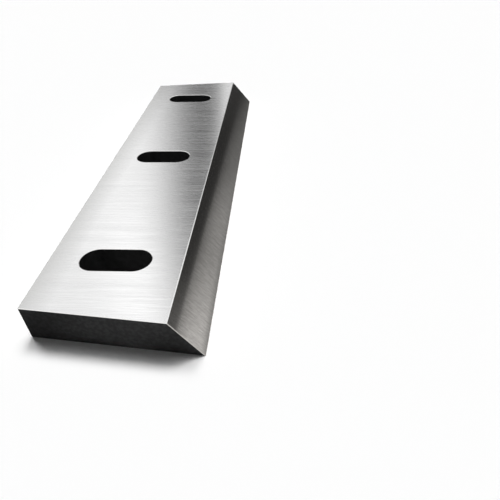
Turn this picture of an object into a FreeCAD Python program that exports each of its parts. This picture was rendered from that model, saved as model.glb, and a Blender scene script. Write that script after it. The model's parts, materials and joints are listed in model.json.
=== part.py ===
import FreeCAD, Part
import math
import os

# Granulator knife: one hardened and ground steel bar with a bevelled cutting edge and three
# slots, across its width, for the bolts that clamp it to a rotor or a bed seat.
# Millimetres. The knife lies on its underside, at the middle of its bounding box: +X runs along
# the cutting edge, +Y from the cutting edge to the back, +Z up.

# Bar
cutting_edge_length = 318.0
overall_width = 87.0  # cutting edge to back
thickness = 20.0
bevel_angle = 52.0  # degrees between the bevel and the underside, at the cutting edge
end_relief_angle = 5.5  # degrees that each end leans in, from the cutting edge to the back

# Bolt slots
slot_count = 3
slot_pitch = 115.0
slot_length = 38.0  # across the knife, over the round ends
slot_width = 17.5  # clears an M16 bolt

# Broken edges
outer_break = 0.3  # all round the bar, apart from the cutting edge
mouth_break = 0.3  # both mouths of each slot

# How far a cutting tool runs past the stock
tool_overrun = 5.0
same_place = 1e-4

UP = FreeCAD.Vector(0, 0, 1)
ALONG = FreeCAD.Vector(1, 0, 0)
ORIGIN = FreeCAD.Vector(0, 0, 0)

cutting_edge_y = -overall_width / 2
back_y = overall_width / 2
bevel_run = thickness / math.tan(math.radians(bevel_angle))
bevel_top_y = cutting_edge_y + bevel_run
slot_line_y = (bevel_top_y + back_y) / 2  # the slots sit in the middle of the flat top


def bevelled_bar():
    """The knife's cross-section, run along the full length of the cutting edge."""
    start_x = -cutting_edge_length / 2
    section = [
        FreeCAD.Vector(start_x, cutting_edge_y, 0),
        FreeCAD.Vector(start_x, back_y, 0),
        FreeCAD.Vector(start_x, back_y, thickness),
        FreeCAD.Vector(start_x, bevel_top_y, thickness),
    ]
    outline = Part.makePolygon(section + section[:1])
    return Part.Face(outline).extrude(ALONG * cutting_edge_length)


def end_cutter():
    """The stock that is ground off the +X end, so that the back is shorter than the cutting edge."""
    corner = FreeCAD.Vector(cutting_edge_length / 2, cutting_edge_y, 0)
    reach = overall_width / math.cos(math.radians(end_relief_angle)) + 2 * tool_overrun
    depth = overall_width * math.tan(math.radians(end_relief_angle)) + tool_overrun
    cutter = Part.makeBox(
        depth, reach, thickness + 2 * tool_overrun, corner - FreeCAD.Vector(0, tool_overrun, tool_overrun)
    )
    cutter.rotate(corner, UP, end_relief_angle)
    return cutter


def relieve_ends(bar):
    """Both ends leaning in towards the back, one the mirror image of the other."""
    cutter = end_cutter()
    return bar.cut([cutter, cutter.mirror(ORIGIN, ALONG)])


def is_cutting_edge(edge):
    """Whether an edge is the sharp one, where the bevel meets the underside."""
    box = edge.BoundBox
    return abs(box.YMax - cutting_edge_y) < same_place


def break_outer_edges(bar):
    """Every edge of the bar broken, apart from the cutting edge, which stays sharp."""
    return bar.makeChamfer(outer_break, [edge for edge in bar.Edges if not is_cutting_edge(edge)])


def slot_cutter(centre_x):
    """A round-ended slot that runs across the knife and right through it."""
    radius = slot_width / 2
    straight = slot_length / 2 - radius
    bottom = -tool_overrun

    def at(x, y):
        return FreeCAD.Vector(centre_x + x, slot_line_y + y, bottom)

    outline = Part.Wire(
        [
            Part.LineSegment(at(radius, -straight), at(radius, straight)).toShape(),
            Part.Arc(at(radius, straight), at(0, slot_length / 2), at(-radius, straight)).toShape(),
            Part.LineSegment(at(-radius, straight), at(-radius, -straight)).toShape(),
            Part.Arc(at(-radius, -straight), at(0, -slot_length / 2), at(radius, -straight)).toShape(),
        ]
    )
    return Part.Face(outline).extrude(UP * (thickness + 2 * tool_overrun))


def cut_slots(bar):
    """The row of slots, spaced evenly about the middle of the knife."""
    first_x = -slot_pitch * (slot_count - 1) / 2
    return bar.cut([slot_cutter(first_x + index * slot_pitch) for index in range(slot_count)])


def break_slot_mouths(bar):
    """A small chamfer round each slot where it opens on the top and on the underside."""
    mouths = []
    for face in bar.Faces:
        inner_wires = [wire for wire in face.Wires if not wire.isSame(face.OuterWire)]
        mouths += [edge for wire in inner_wires for edge in wire.Edges]
    return bar.makeChamfer(mouth_break, mouths)


def knife_blade():
    """The finished knife, as one solid."""
    bar = break_outer_edges(relieve_ends(bevelled_bar()))
    return break_slot_mouths(cut_slots(bar)).Solids[0]


os.makedirs("parts", exist_ok=True)
knife_blade().exportStep("parts/knife_blade.step")
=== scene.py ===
# Looks of the granulator knife: its ground and hardened finishes, the table it lies on, the studio
# round it and the camera. Lengths are metres in the part's own frame: +X along the cutting edge,
# +Y from the cutting edge to the back, +Z up, with the knife on z = 0.

import json
import logging
import math
from dataclasses import dataclass
from enum import Enum
from typing import Any, Dict, Optional, Tuple, Union

import bmesh
import bpy
from mathutils import Euler, Matrix, Vector


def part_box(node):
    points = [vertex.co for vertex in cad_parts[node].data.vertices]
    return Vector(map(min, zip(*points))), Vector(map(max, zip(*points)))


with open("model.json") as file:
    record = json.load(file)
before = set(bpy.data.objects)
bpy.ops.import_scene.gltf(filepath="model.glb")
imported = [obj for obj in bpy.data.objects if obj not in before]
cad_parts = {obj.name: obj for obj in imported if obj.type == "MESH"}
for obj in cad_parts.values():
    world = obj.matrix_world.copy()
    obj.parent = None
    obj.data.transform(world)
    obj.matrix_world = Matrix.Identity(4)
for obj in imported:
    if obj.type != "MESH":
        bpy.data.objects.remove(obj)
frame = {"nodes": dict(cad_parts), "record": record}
bpy.context.view_layer.update()

MM = 0.001
WHITE = (1.0, 1.0, 1.0, 1.0)
log = logging.getLogger("granulator_knife")

# Several of the Mix node's sockets share a name, so they go by number.
MIX_SHARE = 0
MIX_NUMBER_A, MIX_NUMBER_B = 2, 3
MIX_COLOUR_A, MIX_COLOUR_B = 6, 7
MIX_COLOUR_OUT = 2

Span = Tuple[float, float]
Triple = Tuple[float, float, float]
Grading = Tuple[Tuple[float, float], ...]
Level = Union[float, bpy.types.NodeSocket]


def linear(hex_colour: str) -> Tuple[float, float, float, float]:
    """Turns an sRGB hex colour into the linear colour that a shader takes.

    Args:
        hex_colour: Six hex digits after a hash, such as "#f0f0f0".

    Returns:
        Linear red, green, blue and an alpha of 1.
    """
    channels = [int(hex_colour[i : i + 2], 16) / 255 for i in (1, 3, 5)]
    red, green, blue = (c / 12.92 if c <= 0.04045 else ((c + 0.055) / 1.055) ** 2.4 for c in channels)
    return red, green, blue, 1.0


def direction(azimuth: float, elevation: float) -> Vector:
    """Gives the unit vector towards a place round the knife.

    Args:
        azimuth: Degrees from +X towards +Y.
        elevation: Degrees above the table.

    Returns:
        The direction as seen from the knife.
    """
    turn, rise = math.radians(azimuth), math.radians(elevation)
    return Vector((math.cos(turn) * math.cos(rise), math.sin(turn) * math.cos(rise), math.sin(rise)))


def new_material(name: str) -> bpy.types.Material:
    """Makes a material with an empty node tree.

    Args:
        name: What the material is called.

    Returns:
        The material.
    """
    material = bpy.data.materials.new(name)
    material.use_nodes = True
    material.node_tree.nodes.clear()
    return material


def add_node(
    tree: bpy.types.NodeTree,
    kind: str,
    inputs: Optional[Dict[Union[str, int], Any]] = None,
    **settings: Any,
) -> bpy.types.Node:
    """Adds a node with its settings and fills its inputs.

    Args:
        tree: The node tree to add to.
        kind: Blender's type name of the node.
        inputs: Input name or number to a value, or to an output socket to link from.
        **settings: The node's own options.

    Returns:
        The new node.
    """
    node = tree.nodes.new(kind)
    for name, value in settings.items():
        setattr(node, name, value)
    for name, value in (inputs or {}).items():
        if isinstance(value, bpy.types.NodeSocket):
            tree.links.new(value, node.inputs[name])
        else:
            node.inputs[name].default_value = value
    return node


@dataclass(frozen=True)
class Streaks:
    """Streaks that a grinding wheel leaves, from broad ones down to fine ones.

    Args:
        finest_mm: Width of the finest streaks.
        length_mm: How far the broadest ones run.
        halvings: How many times the broadest ones are halved to reach the finest.
    """

    finest_mm: float
    length_mm: float
    halvings: int = 3

    def noise(self, tree: bpy.types.NodeTree, lay: Triple, across: Triple) -> bpy.types.NodeSocket:
        """Adds noise that is drawn out along the streaks.

        Args:
            tree: The material's node tree.
            lay: Unit vector along the streaks, in the face.
            across: Unit vector across the streaks, in the face.

        Returns:
            The noise, 0 to 1.
        """
        along, side = Vector(lay), Vector(across)
        turn = Matrix((along, side, along.cross(side))).transposed()
        length, width = self.length_mm * MM, self.finest_mm * 2**self.halvings * MM
        places = add_node(tree, "ShaderNodeTexCoord")
        drawn_out = add_node(
            tree,
            "ShaderNodeMapping",
            {
                "Vector": places.outputs["Object"],
                "Rotation": turn.to_euler(),
                "Scale": (length, width, width),
            },
            vector_type="TEXTURE",
        )
        noise = add_node(
            tree,
            "ShaderNodeTexNoise",
            {"Vector": drawn_out.outputs[0], "Scale": 1.0, "Detail": self.halvings, "Roughness": 1.0},
        )
        return noise.outputs[0]


@dataclass(frozen=True)
class PaintedBackShade:
    """A painted darker strip along the back of the knife, which stands in for the darker reflection there.

    Args:
        start_y: Where the painted shade starts.
        back_y: The knife's back, where the painted shade is darkest.
        shade: Its colour there.
    """

    start_y: float
    back_y: float
    shade: str

    def over(self, tree: bpy.types.NodeTree, colour: bpy.types.NodeSocket) -> bpy.types.NodeSocket:
        """Lays the painted shade over the steel's colour.

        Args:
            tree: The material's node tree.
            colour: The colour elsewhere.

        Returns:
            The colour everywhere.
        """
        places = add_node(tree, "ShaderNodeTexCoord")
        split = add_node(tree, "ShaderNodeSeparateXYZ", {"Vector": places.outputs["Object"]})
        back_shading = add_node(
            tree,
            "ShaderNodeMapRange",
            {"Value": split.outputs["Y"], "From Min": self.start_y, "From Max": self.back_y},
        )
        blend = add_node(
            tree,
            "ShaderNodeMix",
            {MIX_SHARE: back_shading.outputs[0], MIX_COLOUR_A: colour, MIX_COLOUR_B: linear(self.shade)},
            data_type="RGBA",
        )
        return blend.outputs[MIX_COLOUR_OUT]


@dataclass(frozen=True)
class GroundSteel:
    """Tool steel with the parallel scratches that a grinding wheel leaves.

    Args:
        name: What the finish is called.
        light: Colour of the scratches' crests.
        dark: Colour between them.
        roughness: Lowest and highest roughness, on the crests and between them.
        anisotropy: How far the scratches stretch a reflection, 0 to 1.
        lay: Unit vector along the scratches, in the face.
        across: Unit vector across the scratches, in the face.
        scratches: How wide and long the scratches are.
        relief_mm: Depth of the scratches.
        span: The noise's values that give the dark and the light colour.
        passes: The wheel's passes, which differ a little in shade, if they show.
        pass_share: How much of the shading the passes make up, 0 to 1.
        painted_back_shade: The painted darker strip along the back, if there is one.
    """

    name: str
    light: str
    dark: str
    roughness: Span
    anisotropy: float
    lay: Triple
    across: Triple
    scratches: Streaks
    relief_mm: float
    span: Span = (0.3, 0.7)
    passes: Optional[Streaks] = None
    pass_share: float = 0.0
    painted_back_shade: Optional[PaintedBackShade] = None

    def material(self) -> bpy.types.Material:
        """Builds the finish: colour, roughness and relief all follow the same scratches.

        Returns:
            The material.
        """
        material = new_material(self.name)
        tree = material.node_tree
        scratches = self.scratches.noise(tree, self.lay, self.across)
        pattern = scratches
        if self.passes:
            passes = self.passes.noise(tree, self.lay, self.across)
            both = add_node(
                tree,
                "ShaderNodeMix",
                {MIX_SHARE: self.pass_share, MIX_NUMBER_A: scratches, MIX_NUMBER_B: passes},
            )
            pattern = both.outputs[0]
        low, high = self.span
        contrast = add_node(
            tree,
            "ShaderNodeMapRange",
            {"Value": pattern, "From Min": low, "From Max": high},
            interpolation_type="SMOOTHSTEP",
        ).outputs[0]
        blend = add_node(
            tree,
            "ShaderNodeMix",
            {MIX_SHARE: contrast, MIX_COLOUR_A: linear(self.dark), MIX_COLOUR_B: linear(self.light)},
            data_type="RGBA",
        )
        colour = blend.outputs[MIX_COLOUR_OUT]
        # painted shade: a darker strip along the back, standing in for the darker reflection there
        if self.painted_back_shade:
            colour = self.painted_back_shade.over(tree, colour)
        smoothest, roughest = self.roughness
        rough = add_node(
            tree, "ShaderNodeMapRange", {"Value": contrast, "To Min": roughest, "To Max": smoothest}
        )
        relief = add_node(
            tree, "ShaderNodeBump", {"Height": scratches, "Strength": 1.0, "Distance": self.relief_mm * MM}
        )
        stretch = add_node(tree, "ShaderNodeCombineXYZ", dict(zip("XYZ", self.across)))
        steel = add_node(
            tree,
            "ShaderNodeBsdfPrincipled",
            {
                "Base Color": colour,
                "Metallic": 1.0,
                "Roughness": rough.outputs[0],
                "Anisotropic": self.anisotropy,
                "Tangent": stretch.outputs[0],
                "Normal": relief.outputs[0],
            },
        )
        add_node(tree, "ShaderNodeOutputMaterial", {"Surface": steel.outputs[0]})
        return material


@dataclass(frozen=True)
class HardenedSkin:
    """The near-black oxide skin that hardening leaves on steel that isn't ground afterwards.

    Args:
        name: What the finish is called.
        dark: Colour of the skin.
        light: Colour of its thinner patches.
        roughness: Lowest and highest roughness, in the patches and between them.
        mottle_mm: Size of the patches.
        mottle_detail: How many times they break up into smaller ones.
        span: The noise's values that give the dark and the light colour.
        grain_mm: Size of the skin's grain.
        grain_detail: How many times the grain breaks up into finer grain.
        relief_mm: Height of the grain.
        shine: Strength of its highlights, where clean enamel has 0.5.
    """

    name: str
    dark: str
    light: str
    roughness: Span
    mottle_mm: float
    mottle_detail: float = 4.0
    span: Span = (0.35, 0.7)
    grain_mm: float = 0.5
    grain_detail: float = 1.0
    relief_mm: float = 0.01
    shine: float = 0.2

    def material(self) -> bpy.types.Material:
        """Builds the finish from soft patches and a fine grain.

        Returns:
            The material.
        """
        material = new_material(self.name)
        tree = material.node_tree
        places = add_node(tree, "ShaderNodeTexCoord")
        patterns = ((self.mottle_mm, self.mottle_detail), (self.grain_mm, self.grain_detail))
        mottle, grain = (
            add_node(
                tree,
                "ShaderNodeTexNoise",
                {"Vector": places.outputs["Object"], "Scale": 1 / (size_mm * MM), "Detail": detail},
            )
            for size_mm, detail in patterns
        )
        low, high = self.span
        patches = add_node(
            tree,
            "ShaderNodeMapRange",
            {"Value": mottle.outputs[0], "From Min": low, "From Max": high},
            interpolation_type="SMOOTHSTEP",
        ).outputs[0]
        colour = add_node(
            tree,
            "ShaderNodeMix",
            {MIX_SHARE: patches, MIX_COLOUR_A: linear(self.dark), MIX_COLOUR_B: linear(self.light)},
            data_type="RGBA",
        )
        smoothest, roughest = self.roughness
        rough = add_node(
            tree, "ShaderNodeMapRange", {"Value": patches, "To Min": roughest, "To Max": smoothest}
        )
        relief = add_node(
            tree,
            "ShaderNodeBump",
            {"Height": grain.outputs[0], "Strength": 1.0, "Distance": self.relief_mm * MM},
        )
        skin = add_node(
            tree,
            "ShaderNodeBsdfPrincipled",
            {
                "Base Color": colour.outputs[MIX_COLOUR_OUT],
                "Metallic": 0.0,
                "Roughness": rough.outputs[0],
                "Specular IOR Level": self.shine,
                "Normal": relief.outputs[0],
            },
        )
        add_node(tree, "ShaderNodeOutputMaterial", {"Surface": skin.outputs[0]})
        return material


Finish = Union[GroundSteel, HardenedSkin]


class Region(Enum):
    """The kinds of surface on the knife, in the order of its material slots."""

    WIDE_FACE = 0  # the top and the underside
    BEVEL = 1
    BACK = 2
    END = 3
    BROKEN_EDGE = 4
    SLOT_WALL = 5


@dataclass
class KnifeBlade:
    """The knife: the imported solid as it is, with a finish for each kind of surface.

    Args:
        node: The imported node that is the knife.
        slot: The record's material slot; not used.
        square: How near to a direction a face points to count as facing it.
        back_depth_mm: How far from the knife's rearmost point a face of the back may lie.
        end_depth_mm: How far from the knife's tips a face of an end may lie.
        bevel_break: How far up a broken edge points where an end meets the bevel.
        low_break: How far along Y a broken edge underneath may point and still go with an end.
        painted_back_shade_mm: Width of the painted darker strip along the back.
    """

    node: str = "knife_blade"
    slot: str = "ground_tool_steel"
    square: float = 0.999
    back_depth_mm: float = 0.1
    end_depth_mm: float = 12.0
    bevel_break: Span = (0.2, 0.6)
    low_break: float = 0.5
    painted_back_shade_mm: float = 15.0

    def __post_init__(self) -> None:
        """Reads the knife's sizes from the frame, and works out how its bevel lies."""
        low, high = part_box(self.node)
        slot_mount = next(m for m in frame["record"]["mounts"] if m["name"] == "bolt_slot_middle")
        # The slots lie midway between the top of the bevel and the back.
        bevel_top_y = 2 * slot_mount["pos_m"][1] - high.y
        run, rise = bevel_top_y - low.y, high.z - low.z
        self.tip_x: float = high.x
        self.back_y: float = high.y
        self.up_bevel: Vector = Vector((0, run, rise)).normalized()
        self.bevel_normal: Vector = Vector((0, -rise, run)).normalized()

    def finishes(self) -> Dict[Region, Finish]:
        """Names the finish of each kind of surface.

        Returns:
            Each region's finish.
        """
        return {
            # Hardened tool steel, surface-ground with the wheel running across the knife. It
            # mirrors its surroundings as soft bands that are drawn out along the knife, and the
            # wheel's passes, up to 10 mm wide, differ a little in shade. Real scratches are about
            # 0.04 mm apart, which is too fine to show, so the finest here are 0.12 mm.
            Region.WIDE_FACE: GroundSteel(
                name="surface_ground_tool_steel",
                light="#f0f0f0",
                dark="#e3e3e3",
                roughness=(0.2, 0.3),
                anisotropy=0.8,
                lay=(0, 1, 0),
                across=(1, 0, 0),
                scratches=Streaks(finest_mm=0.12, length_mm=40.0),
                relief_mm=0.0009,
                passes=Streaks(finest_mm=2.5, length_mm=400.0, halvings=2),
                pass_share=0.35,
                # A painted darker strip along the back, standing in for the darker reflection there.
                painted_back_shade=PaintedBackShade(
                    start_y=self.back_y - self.painted_back_shade_mm * MM,
                    back_y=self.back_y,
                    shade="#cfcfce",
                ),
            ),
            # The same steel, ground up the bevel with a finer wheel: a darker and clearer mirror
            # with a faint hatching. Real scratches are about 0.02 mm apart, which is too fine to
            # show, so the finest here are 0.12 mm.
            Region.BEVEL: GroundSteel(
                name="fine_ground_tool_steel",
                light="#c5c2be",
                dark="#adaaa6",
                roughness=(0.07, 0.1),
                anisotropy=0.3,
                lay=tuple(self.up_bevel),
                across=(1, 0, 0),
                scratches=Streaks(finest_mm=0.12, length_mm=6.0),
                relief_mm=0.0003,
            ),
            # The same steel, ground lengthwise with a coarse wheel: a pale sheen with long
            # scratches. Real ones are about 0.08 mm apart, which is too fine to show, so the
            # finest here are 0.45 mm.
            Region.BACK: GroundSteel(
                name="coarse_ground_tool_steel",
                light="#d8d8d7",
                dark="#c4c4c3",
                roughness=(0.26, 0.34),
                anisotropy=0.6,
                lay=(1, 0, 0),
                across=(0, 0, 1),
                scratches=Streaks(finest_mm=0.45, length_mm=40.0),
                relief_mm=0.002,
            ),
            # The oxide skin of the hardening furnace, left unground: matt, dark grey and faintly
            # mottled. Its grain is about 0.02 mm, too fine to show, and is drawn 0.5 mm wide.
            Region.END: HardenedSkin(
                name="hardened_oxide_skin",
                dark="#1e1e1e",
                light="#2a2a2b",
                roughness=(0.45, 0.6),
                mottle_mm=2.0,
            ),
            # The same steel, broken by hand on a stone: a thin bright line round each ground face.
            # The stone's marks are too fine to show, and are drawn 0.5 mm apart.
            Region.BROKEN_EDGE: GroundSteel(
                name="stoned_tool_steel",
                light="#f2f2f1",
                dark="#e6e6e5",
                roughness=(0.2, 0.3),
                anisotropy=0.0,
                lay=(0, 1, 0),
                across=(1, 0, 0),
                scratches=Streaks(finest_mm=0.5, length_mm=4.0),
                relief_mm=0.001,
            ),
            # The same oxide skin, a little duller, and painted nearly black as shade inside the slots, so
            # that the slots look deep. Its grain is drawn as wide as on the ends.
            Region.SLOT_WALL: HardenedSkin(
                name="oxide_skin_with_painted_slot_shade",
                dark="#131313",
                light="#19191a",
                roughness=(0.5, 0.65),
                mottle_mm=4.0,
            ),
        }

    def region_of(self, face: bpy.types.MeshPolygon) -> Region:
        """Tells which kind of surface a face of the knife belongs to.

        Args:
            face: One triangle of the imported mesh.

        Returns:
            The region whose finish it takes.
        """
        normal, middle = face.normal, face.center
        if abs(normal.z) > self.square:
            return Region.WIDE_FACE
        if normal.dot(self.bevel_normal) > self.square:
            return Region.BEVEL
        if normal.y > self.square and middle.y > self.back_y - self.back_depth_mm * MM:
            return Region.BACK
        lowest, highest = self.bevel_break
        if lowest < normal.z < highest:  # ground along with the bevel
            return Region.BEVEL
        upright = abs(normal.z) < 1 - self.square
        if upright and abs(middle.x) < self.tip_x - self.end_depth_mm * MM:
            return Region.SLOT_WALL
        # Broken edges underneath take the dark skin instead of stoned steel, which keeps the shadow on the
        # table in front of them dark.
        if upright or (normal.z < 0 and abs(normal.y) < self.low_break):
            return Region.END
        return Region.BROKEN_EDGE

    def dress(self) -> bpy.types.Object:
        """Gives every face of the knife the finish of its region.

        Returns:
            The knife.
        """
        knife = frame["nodes"][self.node]
        knife.data.materials.clear()
        finishes = self.finishes()
        for region in Region:
            knife.data.materials.append(finishes[region].material())
        for face in knife.data.polygons:
            face.material_index = self.region_of(face).value
        return knife


@dataclass(frozen=True)
class MattBoard:
    """Painted board without any gloss, which looks plain white but keeps the knife's shadow.

    Args:
        name: What the finish is called.
        colour: Its colour.
        lift: Light added for the camera, which makes up what the room leaves short of white.
    """

    name: str = "matt_white_board"
    colour: str = "#fafafa"
    lift: float = 0.021

    def material(self) -> bpy.types.Material:
        """Builds the finish.

        Returns:
            The material.
        """
        material = new_material(self.name)
        tree = material.node_tree
        board = add_node(tree, "ShaderNodeBsdfDiffuse", {"Color": linear(self.colour)})
        seen = add_node(tree, "ShaderNodeLightPath").outputs["Is Camera Ray"]
        lift = add_node(tree, "ShaderNodeMath", {0: seen, 1: self.lift}, operation="MULTIPLY")
        glow = add_node(tree, "ShaderNodeEmission", {"Color": WHITE, "Strength": lift.outputs[0]})
        both = add_node(tree, "ShaderNodeAddShader", {0: board.outputs[0], 1: glow.outputs[0]})
        add_node(tree, "ShaderNodeOutputMaterial", {"Surface": both.outputs[0]})
        return material


@dataclass
class Table:
    """The white table that the knife lies on.

    Args:
        radius: How far it reaches from the knife.
        sides: How many sides its outline has.
        gap_mm: How far it lies below the knife.
        finish: What it is made of.
    """

    radius: float = 3.0
    sides: int = 96
    gap_mm: float = 0.02
    finish: MattBoard = MattBoard()

    def build(self) -> bpy.types.Object:
        """Builds the table top just below the knife.

        Returns:
            The table top.
        """
        mesh = bpy.data.meshes.new("table_top")
        form = bmesh.new()
        bmesh.ops.create_circle(form, cap_ends=True, radius=self.radius, segments=self.sides)
        bmesh.ops.translate(form, verts=form.verts, vec=(0, 0, -self.gap_mm * MM))
        form.to_mesh(mesh)
        form.free()
        table = bpy.data.objects.new("table_top", mesh)
        bpy.context.scene.collection.objects.link(table)
        mesh.materials.append(self.finish.material())
        return table


@dataclass(frozen=True)
class Card:
    """A flat studio card that only shows in reflections: white, dark or graded.

    Args:
        name: What the card is called.
        corner: Its lower left corner.
        along: Its lower border, as a vector.
        up: Its left border, as a vector.
        brightness: How bright it is at its brightest, where 1 is white.
        grading: Places along it, 0 to 1, each with the share of the brightness there.
        rise: Places up it, 0 to 1, each with the share of the brightness there.
        soft: How far it fades in from its left, right, lower and upper border, as shares of its size.
    """

    name: str
    corner: Triple
    along: Triple
    up: Triple
    brightness: float
    grading: Grading = ((0.0, 1.0),)
    rise: Grading = ((0.0, 1.0),)
    soft: Tuple[float, float, float, float] = (0.0, 0.0, 0.0, 0.0)

    @classmethod
    def facing(
        cls,
        name: str,
        azimuth: float,
        elevation: float,
        width: float,
        height: float,
        tilt: float = 0.0,
        distance: float = 2.0,
        **finish: Any,
    ) -> "Card":
        """Places a card by where it is seen from the knife.

        Args:
            name: What the card is called.
            azimuth: The direction of its middle, in degrees from +X towards +Y.
            elevation: The height of its middle, in degrees.
            width: How wide it is seen, in degrees.
            height: How tall it is seen, in degrees.
            tilt: How far its top leans towards +Y, in degrees.
            distance: How far it stands from the knife.
            **finish: The card's brightness, grading and soft borders.

        Returns:
            The card, facing the knife.
        """
        towards = direction(azimuth, elevation)
        turn = towards.to_track_quat("-Z", "Y").to_matrix() @ Matrix.Rotation(math.radians(tilt), 3, "Z")
        along = turn @ Vector((2 * distance * math.tan(math.radians(width / 2)), 0, 0))
        up = turn @ Vector((0, 2 * distance * math.tan(math.radians(height / 2)), 0))
        corner = towards * distance - (along + up) / 2
        return cls(name=name, corner=tuple(corner), along=tuple(along), up=tuple(up), **finish)

    def build(self) -> bpy.types.Object:
        """Builds the card, unseen by the camera and without a shadow.

        Returns:
            The card.
        """
        corner, along, up = Vector(self.corner), Vector(self.along), Vector(self.up)
        outline = (corner, corner + along, corner + along + up, corner + up)
        form = bmesh.new()
        face = form.faces.new([form.verts.new(place) for place in outline])
        layer = form.loops.layers.uv.new("UVMap")
        for loop, place in zip(face.loops, ((0, 0), (1, 0), (1, 1), (0, 1))):
            loop[layer].uv = place
        mesh = bpy.data.meshes.new(self.name)
        form.to_mesh(mesh)
        form.free()
        mesh.materials.append(self.material())
        card = bpy.data.objects.new(self.name, mesh)
        bpy.context.scene.collection.objects.link(card)
        card.visible_camera = False
        card.visible_diffuse = False
        card.visible_shadow = False
        return card

    def material(self) -> bpy.types.Material:
        """Makes a glowing surface, even or graded, that fades out at the card's soft borders.

        Returns:
            The material.
        """
        material = new_material(self.name)
        tree = material.node_tree
        places = add_node(tree, "ShaderNodeTexCoord")
        split = add_node(tree, "ShaderNodeSeparateXYZ", {"Vector": places.outputs["UV"]})
        level: Level = self.brightness
        for axis, shares in (("X", self.grading), ("Y", self.rise)):
            grade = add_node(tree, "ShaderNodeValToRGB", {"Fac": split.outputs[axis]})
            stops = grade.color_ramp.elements
            while len(stops) > 1:
                stops.remove(stops[-1])
            for index, (place, share) in enumerate(shares):
                stop = stops[0] if index == 0 else stops.new(place)
                stop.position = place
                stop.color = (share, share, share, 1)
            graded = add_node(tree, "ShaderNodeMath", {0: level, 1: grade.outputs[0]}, operation="MULTIPLY")
            level = graded.outputs[0]
        glow = add_node(tree, "ShaderNodeEmission", {"Color": WHITE, "Strength": level})
        left, right, lower, upper = self.soft
        cover: Level = 1.0
        for axis, start, end in (("X", 0, left), ("X", 1, 1 - right), ("Y", 0, lower), ("Y", 1, 1 - upper)):
            if start == end:
                continue
            fade = add_node(
                tree,
                "ShaderNodeMapRange",
                {"Value": split.outputs[axis], "From Min": start, "From Max": end},
                interpolation_type="SMOOTHSTEP",
            )
            faded = add_node(tree, "ShaderNodeMath", {0: cover, 1: fade.outputs[0]}, operation="MULTIPLY")
            cover = faded.outputs[0]
        clear = add_node(tree, "ShaderNodeBsdfTransparent")
        card = add_node(tree, "ShaderNodeMixShader", {0: cover, 1: clear.outputs[0], 2: glow.outputs[0]})
        add_node(tree, "ShaderNodeOutputMaterial", {"Surface": card.outputs[0]})
        return material


@dataclass(frozen=True)
class KeyLight:
    """A large soft light, which the metal doesn't mirror as a spot.

    Args:
        azimuth: Where it stands, in degrees from +X towards +Y.
        elevation: How high it stands, in degrees.
        spread: How wide it is seen, in degrees.
        strength: Its strength.
    """

    azimuth: float
    elevation: float
    spread: float
    strength: float

    def build(self) -> bpy.types.Object:
        """Builds the light and points it at the knife.

        Returns:
            The light.
        """
        lamp = bpy.data.lights.new("key_light", "SUN")
        lamp.energy = self.strength
        lamp.angle = math.radians(self.spread)
        key = bpy.data.objects.new("key_light", lamp)
        key.rotation_mode = "QUATERNION"
        key.rotation_quaternion = direction(self.azimuth, self.elevation).to_track_quat("Z", "Y")
        key.visible_glossy = False
        bpy.context.scene.collection.objects.link(key)
        return key


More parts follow.
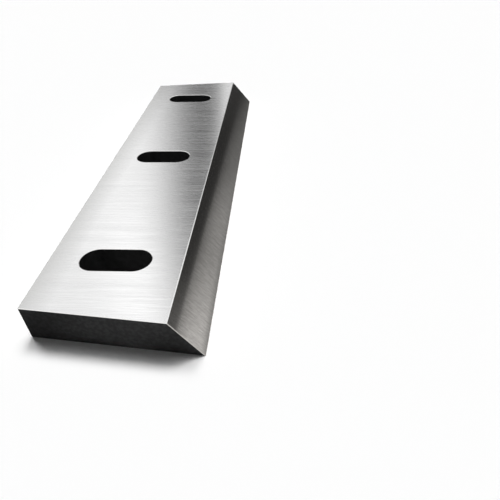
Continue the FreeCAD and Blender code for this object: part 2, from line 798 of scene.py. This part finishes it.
@dataclass
class Studio:
    """Soft light from behind the knife, in a white room, and the cards that the knife mirrors.

    Args:
        keys: The key lights.
        room_level: How strongly the room lights what isn't metal.
    """

    keys: Tuple[KeyLight, ...] = (
        KeyLight(azimuth=44.2, elevation=52.0, spread=16.4, strength=1.3),
        KeyLight(azimuth=3.4, elevation=64.5, spread=17.3, strength=1.36),
        KeyLight(azimuth=-26.2, elevation=70.3, spread=26.9, strength=0.9),
    )
    room_level: float = 0.024

    def build(self) -> Tuple[bpy.types.Object, ...]:
        """Builds the room, the key lights and the cards.

        Returns:
            The lights and the cards.
        """
        self.room()
        cards = self.cards_over_top() + self.cards_beside_bevel() + self.cards_before_end()
        return tuple(piece.build() for piece in self.keys + cards)

    def room(self) -> None:
        """Makes the room white to the camera and in reflections, and dim as a light."""
        world = bpy.data.worlds.new("white_room")
        bpy.context.scene.world = world
        world.use_nodes = True
        tree = world.node_tree
        tree.nodes.clear()
        rays = add_node(tree, "ShaderNodeLightPath")
        seen = rays.outputs["Is Camera Ray"]
        for kind in ("Is Glossy Ray", "Is Transmission Ray"):
            either = add_node(tree, "ShaderNodeMath", {0: seen, 1: rays.outputs[kind]}, operation="MAXIMUM")
            seen = either.outputs[0]
        level = add_node(
            tree, "ShaderNodeMapRange", {"Value": seen, "To Min": self.room_level, "To Max": 1.0}
        )
        white = add_node(tree, "ShaderNodeBackground", {"Color": WHITE, "Strength": level.outputs[0]})
        add_node(tree, "ShaderNodeOutputWorld", {"Surface": white.outputs[0]})

    def cards_over_top(self) -> Tuple[Card, ...]:
        """Lists the cards that the top mirrors: a dark flag, which makes its dark band, and light ones.

        Returns:
            The cards.
        """
        return (
            Card.facing(
                "flag_behind",
                azimuth=14.8,
                elevation=29.5,
                width=11.9,
                height=54.0,
                tilt=10.5,
                brightness=0.0,
                soft=(0.8, 0.05, 0.25, 0.25),
            ),
            Card.facing(
                "card_behind_left",
                azimuth=27.0,
                elevation=46.0,
                width=14.0,
                height=34.0,
                brightness=1.4,
                soft=(0.5, 0.5, 0.35, 0.3),
            ),
            Card.facing(
                "card_behind_right",
                azimuth=-12.0,
                elevation=21.0,
                width=34.0,
                height=30.0,
                brightness=0.55,
                soft=(0.1, 0.3, 0.1, 0.3),
            ),
            Card.facing(
                "card_above_camera",
                azimuth=185.0,
                elevation=52.0,
                width=70.0,
                height=30.0,
                brightness=1.1,
            ),
        )

    def cards_beside_bevel(self) -> Tuple[Card, ...]:
        """Lists the cards that the bevel mirrors: a shade for its dark strip, and a flank and a foot.

        Returns:
            The cards.
        """
        darker_away = (
            (0.05, 0.95),
            (0.14, 0.68),
            (0.22, 0.52),
            (0.31, 0.52),
            (0.48, 0.3),
            (0.72, 0.2),
            (0.9, 0.13),
        )
        return (
            Card(
                "shade_beside_bevel",
                corner=(-0.080, -0.166, 0.0),
                along=(0.800, 0, 0),
                up=(0, 0, 0.05),
                brightness=0.145,
                grading=(
                    (0.06, 1.0),
                    (0.13, 0.46),
                    (0.2, 0.34),
                    (0.41, 0.28),
                    (0.55, 0.29),
                    (0.62, 0.34),
                    (0.9, 0.35),
                ),
            ),
            Card(
                "flank_beside_bevel",
                corner=(-0.080, -0.164, 0.0),
                along=(0.620, 0, -0.0126),
                up=(0, 0, 0.0231),
                brightness=0.92,
                grading=darker_away,
                rise=((0.11, 1.0), (0.57, 0.88), (0.83, 0.66), (0.94, 0.54), (0.965, 0.7), (1.0, 0.3)),
            ),
            Card(
                "foot_beside_bevel",
                corner=(-0.080, -0.164, 0.0001),
                along=(0.620, 0, 0),
                up=(-0.160, 0.1195, 0),
                brightness=0.92,
                grading=darker_away,
                rise=((0.0, 1.0), (1.0, 0.75)),
            ),
        )

    def cards_before_end(self) -> Tuple[Card, ...]:
        """Lists the cards that the near end mirrors: a shade at its left and a light strip at its foot.

        Returns:
            The cards.
        """
        return (
            Card(
                "shade_before_end",
                corner=(-0.250, 0.022, 0.0001),
                along=(0.099, 0, 0),
                up=(0, 0.048, 0),
                brightness=0.0,
                soft=(0.2, 0.0, 0.45, 0.2),
            ),
            Card(
                "strip_before_end",
                corner=(-0.174, -0.028, 0.0002),
                along=(0.018, 0, 0),
                up=(0, 0.065, 0),
                brightness=0.45,
                soft=(0.5, 0.0, 0.4, 0.3),
            ),
        )


@dataclass
class PhotoCamera:
    """The camera, close to the near end and looking down along the knife.

    Args:
        place_mm: Where it stands.
        heading: Which way it looks, in degrees from +X towards +Y.
        down: How far it looks down, in degrees.
        roll: How far it leans, in degrees.
        lens_mm: Its focal length.
        sensor_mm: Width of its sensor.
        nearest: How near to it things still show.
    """

    place_mm: Triple = (-285.8, -77.7, 165.1)
    heading: float = 5.25
    down: float = 38.75
    roll: float = -2.62
    lens_mm: float = 32.02
    sensor_mm: float = 36.0
    nearest: float = 0.01

    def build(self) -> bpy.types.Object:
        """Sets the camera up and makes it the scene's own.

        Returns:
            The camera.
        """
        data = bpy.data.cameras.new("photo_camera")
        data.sensor_width = self.sensor_mm
        data.lens = self.lens_mm
        data.clip_start = self.nearest
        camera = bpy.data.objects.new("photo_camera", data)
        camera.location = Vector(self.place_mm) * MM
        level = Euler((math.radians(90 - self.down), 0, math.radians(self.heading - 90)), "XYZ").to_matrix()
        camera.rotation_euler = (level @ Matrix.Rotation(math.radians(self.roll), 3, "Z")).to_euler()
        bpy.context.scene.collection.objects.link(camera)
        bpy.context.scene.camera = camera
        return camera


def main() -> None:
    """Builds the camera, the knife's finishes, the table and the studio, and reports each piece."""
    logging.basicConfig(level=logging.INFO, format="%(name)s: %(message)s")
    for piece in (PhotoCamera().build(), KnifeBlade().dress(), Table().build(), *Studio().build()):
        finishes = [material.name for material in getattr(piece.data, "materials", ())]
        log.info("%s: %s", piece.name, ", ".join(finishes) or piece.type.lower())
    bpy.context.scene.view_settings.view_transform = "Standard"


if __name__ == "__main__":
    main()
